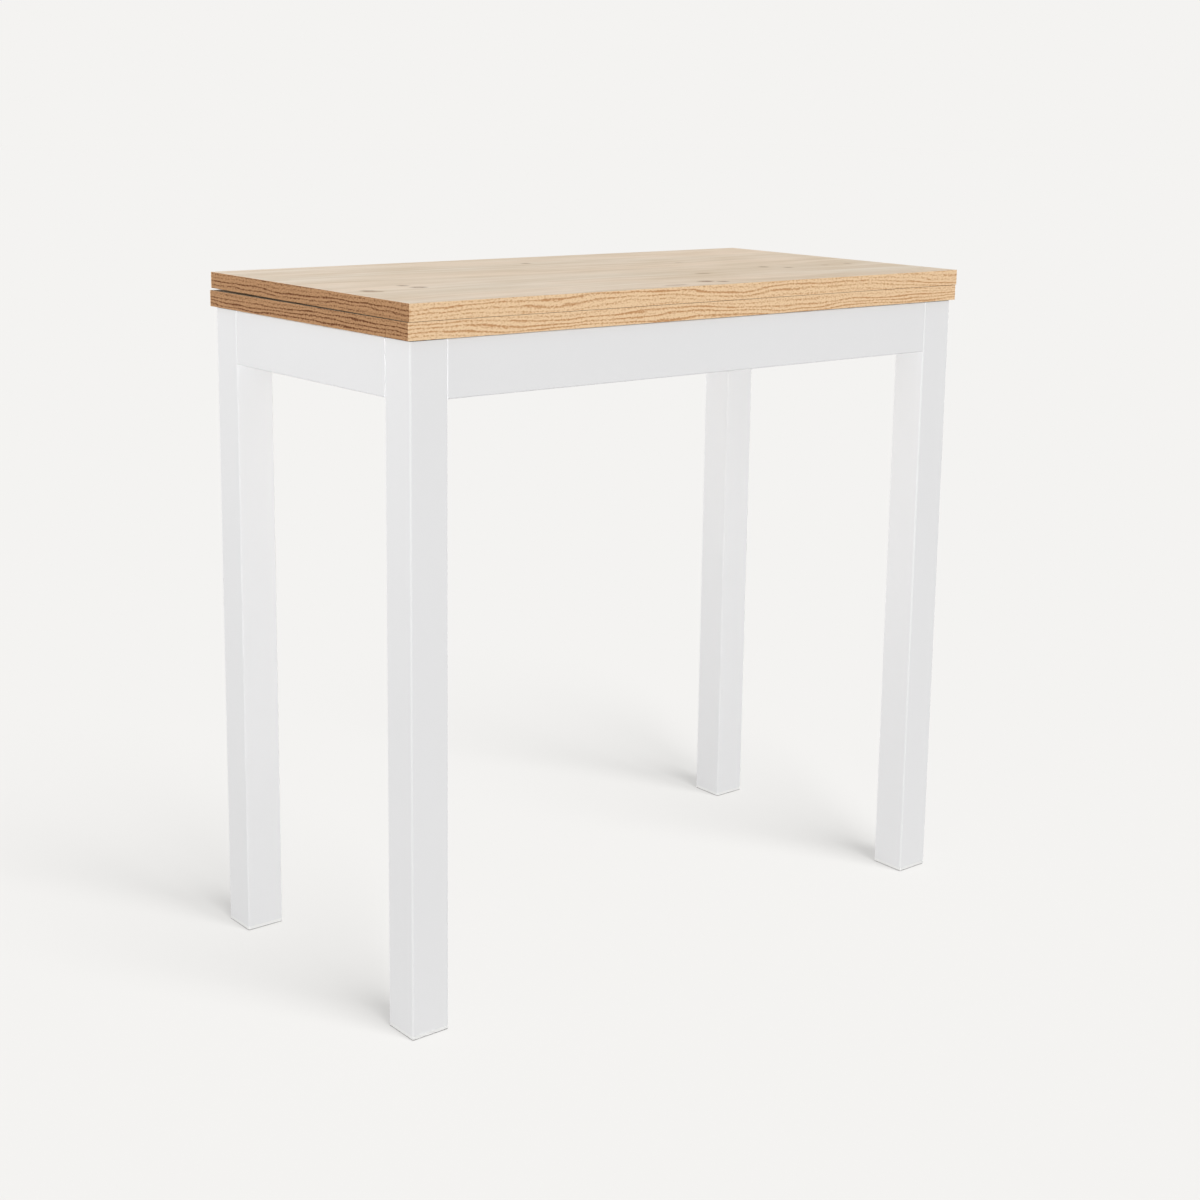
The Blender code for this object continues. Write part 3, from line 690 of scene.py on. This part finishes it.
def flat_head(smooth):
    """A countersunk head that sits just below the face of its plate."""
    rim = FLAT_HEAD_RADIUS - 2 * SUNK
    profile = [
        (0, -SUNK),
        (rim - 2 * SUNK, -SUNK),
        (rim, -2 * SUNK),
        (SHANK_RADIUS, -2 * SUNK - (rim - SHANK_RADIUS)),
        (SHANK_RADIUS, -SHANK_LENGTH),
        (0, -SHANK_LENGTH - SHANK_RADIUS),
    ]
    return screw("flat_head_screw", profile, smooth)


def pan_head(smooth):
    """A low domed head on a flat seat."""
    dome = [
        (PAN_HEAD_RADIUS * math.sin(a), PAN_HEAD_HEIGHT * (DOME_BASE + (1 - DOME_BASE) * math.cos(a)))
        for a in DOME_ANGLES
    ]
    seat = [(PAN_HEAD_RADIUS, 0), (SHANK_RADIUS, 0)]
    shank = [(SHANK_RADIUS, -SHANK_LENGTH), (0, -SHANK_LENGTH)]
    return screw("pan_head_screw", dome + seat + shank, smooth)


def drive(mesh, name, place, outwards, body, finish):
    """Puts one screw in, with its head facing outwards and its recess at a turn of its own."""
    obj = bpy.data.objects.new(name, mesh)
    bpy.context.scene.collection.objects.link(obj)
    aim = Vector(outwards).to_track_quat("Z", "Y").to_matrix().to_4x4()
    turn = Matrix.Rotation(SCREW_TURN * len(bpy.data.objects), 4, "Z")
    obj.matrix_world = Matrix.Translation(place) @ aim @ turn
    if not mesh.materials:
        mesh.materials.append(finish)
    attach(obj, body)


def add_hinge_screws(mesh, finish):
    """Two countersunk screws in each hinge plate, halfway between its knuckle and its edge."""
    axis = next(joint for joint in frame["joints"] if joint["name"] == "leaf_fold")["pos_m"]
    for leaf in ("lower", "upper"):
        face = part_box(f"{leaf}_band_back")[1].y
        for side in ("left", "middle", "right"):
            low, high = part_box(f"hinge_{side}_{leaf}_plate")
            knuckle = high.y - axis[1]
            edge = high.z - axis[2] if leaf == "upper" else low.z - axis[2]
            height = axis[2] + (edge + math.copysign(knuckle, edge)) / 2
            middle = (low.x + high.x) / 2
            for end, way in (("a", -1), ("b", 1)):
                name = f"hinge_{side}_{leaf}_screw_{end}"
                place = (middle + way * HINGE_SCREW_SPACING / 2, face, height)
                drive(mesh, name, place, (0, 1, 0), f"{leaf}_leaf", finish)


def add_bracket_screws(mesh, finish):
    """Two pan-head screws in each flange of the corner brackets, into the apron behind it."""
    for corner, (sx, sy) in CORNERS.items():
        low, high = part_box(f"corner_bracket_{corner}")
        near_x, far_x = (low.x, high.x) if sx > 0 else (high.x, low.x)
        near_y, far_y = (low.y, high.y) if sy > 0 else (high.y, low.y)
        face_x, face_y = far_x - sx * BRACKET_PLATE, far_y - sy * BRACKET_PLATE
        middle_x, middle_y = near_x + sx * BRACKET_FLANGE / 2, near_y + sy * BRACKET_FLANGE / 2
        for row, share in zip("ab", BRACKET_ROWS):
            z = low.z + share * (high.z - low.z)
            name = f"bracket_{corner}_screw"
            drive(mesh, f"{name}_side_{row}", (face_x, middle_y, z), (-sx, 0, 0), "frame", finish)
            drive(mesh, f"{name}_long_{row}", (middle_x, face_y, z), (0, -sy, 0), "frame", finish)


def add_floor():
    """An even pale floor: as bright as the background to the camera, and matt to all other light."""
    bpy.ops.mesh.primitive_plane_add(size=FLOOR_SIZE)
    floor = bpy.context.object
    floor.name = "floor"
    material, g = new_material("floor")
    g.tree.nodes.remove(g.tree.nodes["Principled BSDF"])
    _, height, _, strength = FLOOR_SUN
    light = strength * math.sin(math.radians(height)) + AMBIENT
    matt = g.add("ShaderNodeBsdfDiffuse", {"Color": (*darker(PALE, FLOOR_SHADOWS / light), 1.0)})
    glow = g.add("ShaderNodeEmission", {"Color": (*darker(PALE, 1 - FLOOR_SHADOWS), 1.0)})
    shown = g.add("ShaderNodeAddShader", {0: matt, 1: glow})
    bounce = g.add("ShaderNodeBsdfDiffuse", {"Color": (*darker(PALE, FLOOR_BOUNCE), 1.0)})
    surface = g.add("ShaderNodeMixShader", {0: g.seen_directly(), 1: bounce, 2: shown})
    g.feed(g.tree.nodes["Material Output"].inputs["Surface"], surface)
    floor.data.materials.append(material)
    floor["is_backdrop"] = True
    return floor


def add_world():
    """A pale backdrop that is dimmer as a source of light."""
    world = bpy.data.worlds.new("studio")
    bpy.context.scene.world = world
    world.use_nodes = True
    world.node_tree.nodes.clear()
    g = Graph(world.node_tree)
    shown = g.add("ShaderNodeBackground", {"Color": (*PALE, 1.0)})
    ambient = g.add("ShaderNodeBackground", {"Color": (1.0, 1.0, 1.0, 1.0), "Strength": AMBIENT})
    surface = g.add("ShaderNodeMixShader", {0: g.seen_directly(), 1: ambient, 2: shown})
    g.feed(g.tree.nodes.new("ShaderNodeOutputWorld").inputs["Surface"], surface)


def collection(name, objects):
    """A new collection of the given objects, for lamps to light or to be blocked by."""
    group = bpy.data.collections.new(name)
    for obj in objects:
        group.objects.link(obj)
    return group


def add_lamp(name, kind, shines_on, **settings):
    """A lamp that lights only the given collection."""
    data = bpy.data.lights.new(name, kind)
    for key, value in settings.items():
        setattr(data, key, value)
    lamp = bpy.data.objects.new(name, data)
    bpy.context.scene.collection.objects.link(lamp)
    lamp.light_linking.receiver_collection = shines_on
    return lamp


def add_sun(name, sun, shines_on, shadows=True):
    """A sun as the tables give it, which lights only the given collection."""
    *angles, strength = sun
    azimuth, height, softness = (math.radians(angle) for angle in angles)
    settings = {"energy": math.pi * strength, "angle": softness, "use_shadow": shadows}
    lamp = add_lamp(name, "SUN", shines_on, **settings)
    level = math.cos(height)
    towards = Vector((math.sin(azimuth) * level, -math.cos(azimuth) * level, math.sin(height)))
    lamp.rotation_euler = towards.to_track_quat("Z", "Y").to_euler()
    return lamp


def add_lights(floor, bare_metal):
    """Even light all round, as in the photograph.

    The leaves shade each other and the front of the frame. The frame has other shadows only from the
    right and the back, and only the legs and feet shade the floor. Bare metal of the frame has no lamp
    of its own, and mirrors the studio.
    """
    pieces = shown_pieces()
    fixed = [p for p in pieces if body_of(p) == ["frame"]]
    of_frame = collection("frame_pieces", [p for p in fixed if p.data.materials[0] != bare_metal])
    of_leaves = collection("leaf_pieces", [p for p in pieces if body_of(p) != ["frame"]])
    for side, sun in LEAF_SUNS.items():
        lamp = add_sun(f"{side}_of_leaves", sun, of_leaves)
        lamp.light_linking.blocker_collection = of_leaves
        # The low sun from the left leaves no glint
        lamp.visible_glossy = side != "left"
    in_front = [NODES[name] for name in ("apron_front", "leg_front_left", "leg_front_right")]
    # A leg covers the right apron's front end, where a sun without shadows would leave a bright slit
    behind = [p for p in of_frame.objects if p not in (*in_front, NODES["apron_right"])]
    front = FRAME_SUNS["front"]
    lamp = add_sun("front_of_frame", front, collection("front_pieces", in_front))
    lamp.light_linking.blocker_collection = of_leaves
    add_sun("front_of_inside", front, collection("pieces_behind", behind), shadows=False)
    add_sun("left_of_frame", FRAME_SUNS["left"], of_frame, shadows=False)
    for side in ("right", "back"):
        add_sun(f"{side}_of_frame", FRAME_SUNS[side], of_frame)
    left = {"energy": LEFT_LAMP_POWER, "size": LEFT_LAMP_WIDTH, "use_shadow": False}
    lamp = add_lamp("left_lamp", "AREA", of_frame, **left)
    lamp.location = LEFT_LAMP
    lamp.rotation_euler = (lamp.location - Vector(LEFT_LAMP_AIM)).to_track_quat("Z", "Y").to_euler()
    standing = [node for name, node in NODES.items() if name.startswith(("leg_", "foot_"))]
    legs_and_feet = collection("legs_and_feet", standing)
    inner = {"energy": INNER_LAMP_POWER, "shadow_soft_size": INNER_LAMP_RADIUS, "use_shadow": False}
    lamp = add_lamp("inner_lamp", "POINT", legs_and_feet, **inner)
    lamp.location = INNER_LAMP
    lamp.visible_glossy = False
    sun = add_sun("floor_sun", FLOOR_SUN, collection("floor_only", [floor]))
    sun.light_linking.blocker_collection = legs_and_feet


def add_camera():
    """The photograph's viewpoint."""
    yaw, pitch, roll = (math.radians(v) for v in (CAMERA_YAW, CAMERA_PITCH, CAMERA_ROLL))
    level = math.cos(pitch)
    forward = Vector((math.sin(yaw) * level, math.cos(yaw) * level, -math.sin(pitch)))
    right = Vector((math.cos(yaw), -math.sin(yaw), 0))
    down = forward.cross(right)
    across = math.cos(roll) * right + math.sin(roll) * down
    up = math.sin(roll) * right - math.cos(roll) * down
    lens = bpy.data.cameras.new("camera")
    lens.sensor_width = SENSOR
    lens.lens = FOCAL_PIXELS / PICTURE * SENSOR
    lens.shift_y = (AXIS_ROW - PICTURE / 2) / PICTURE
    lens.clip_start = NEAREST
    lens.clip_end = 2 * FLOOR_SIZE
    camera = bpy.data.objects.new("camera", lens)
    bpy.context.scene.collection.objects.link(camera)
    turn = Matrix((across, up, -forward)).transposed().to_4x4()
    camera.matrix_world = Matrix.Translation(CAMERA_PLACE) @ turn
    bpy.context.scene.camera = camera


def main():
    zinc = dress_nodes()["zinc_steel"]
    smooth = shade_by_angle()
    ease_edges(smooth)
    add_hinge_screws(flat_head(smooth), zinc)
    add_bracket_screws(pan_head(smooth), zinc)
    floor = add_floor()
    add_world()
    add_lights(floor, zinc)
    add_camera()
    bpy.context.scene.view_settings.view_transform = "Standard"


main()
